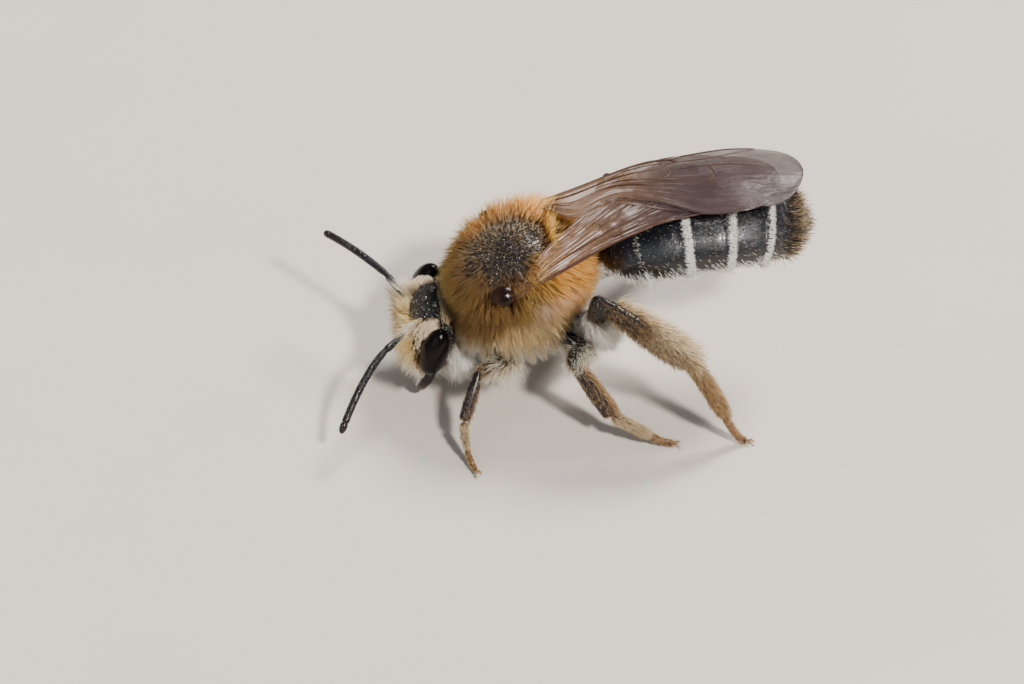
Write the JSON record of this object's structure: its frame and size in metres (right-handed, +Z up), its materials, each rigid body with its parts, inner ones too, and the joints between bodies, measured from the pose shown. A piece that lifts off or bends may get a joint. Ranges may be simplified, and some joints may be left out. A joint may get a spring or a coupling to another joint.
{
  "type": "mining bee model",
  "caption": "Life-size still model of a female mining bee with folded wings, standing on her feet: orange-furred thorax, black abdomen with pale hair bands.",
  "frame": {"origin": "on the floor under the middle of the model's box, level with the soles of the six feet", "axes": "+Z up, -Y forward (the way the head faces), +X towards the bee's left side"},
  "size_m": [0.0082, 0.0122, 0.006],
  "materials": {
    "orange_fur": "dense upright orange-brown hair, dark and thinly haired on the middle of the back, cream below",
    "pale_fur": "short cream hair over black shell, long white hair under the cheeks",
    "brown_fur": "dark shell under golden-brown to cream hair",
    "cuticle": "glossy black shell with fine pits and a bluish sheen",
    "eye": "smooth glossy dark brown",
    "wing": "thin smoky brown membrane with dark veins and a violet sheen"
  },
  "bodies": {
    "root": {"abdomen_1": "cuticle", "abdomen_2": "cuticle", "abdomen_3": "cuticle", "abdomen_4": "cuticle", "abdomen_5": "brown_fur", "abdomen_6": "brown_fur", "antenna_left_flagellum": "cuticle", "antenna_left_scape": "cuticle", "antenna_right_flagellum": "cuticle", "antenna_right_scape": "cuticle", "eye_left": "eye", "eye_right": "eye", "forewing_left": "wing", "forewing_right": "wing", "front_leg_left_coxa": "cuticle", "front_leg_left_femur": "cuticle", "front_leg_left_tarsus": "brown_fur", "front_leg_left_tibia": "brown_fur", "front_leg_right_coxa": "cuticle", "front_leg_right_femur": "cuticle", "front_leg_right_tarsus": "brown_fur", "front_leg_right_tibia": "brown_fur", "head": "pale_fur", "hind_leg_left_coxa": "cuticle", "hind_leg_left_femur": "cuticle", "hind_leg_left_tarsus": "brown_fur", "hind_leg_left_tibia": "brown_fur", "hind_leg_right_coxa": "cuticle", "hind_leg_right_femur": "cuticle", "hind_leg_right_tarsus": "brown_fur", "hind_leg_right_tibia": "brown_fur", "hindwing_left": "wing", "hindwing_right": "wing", "mandible_left": "cuticle", "mandible_right": "cuticle", "middle_leg_left_coxa": "cuticle", "middle_leg_left_femur": "cuticle", "middle_leg_left_tarsus": "brown_fur", "middle_leg_left_tibia": "brown_fur", "middle_leg_right_coxa": "cuticle", "middle_leg_right_femur": "cuticle", "middle_leg_right_tarsus": "brown_fur", "middle_leg_right_tibia": "brown_fur", "tegula_left": "cuticle", "tegula_right": "cuticle", "thorax": "orange_fur"}
  },
  "joints": []
}
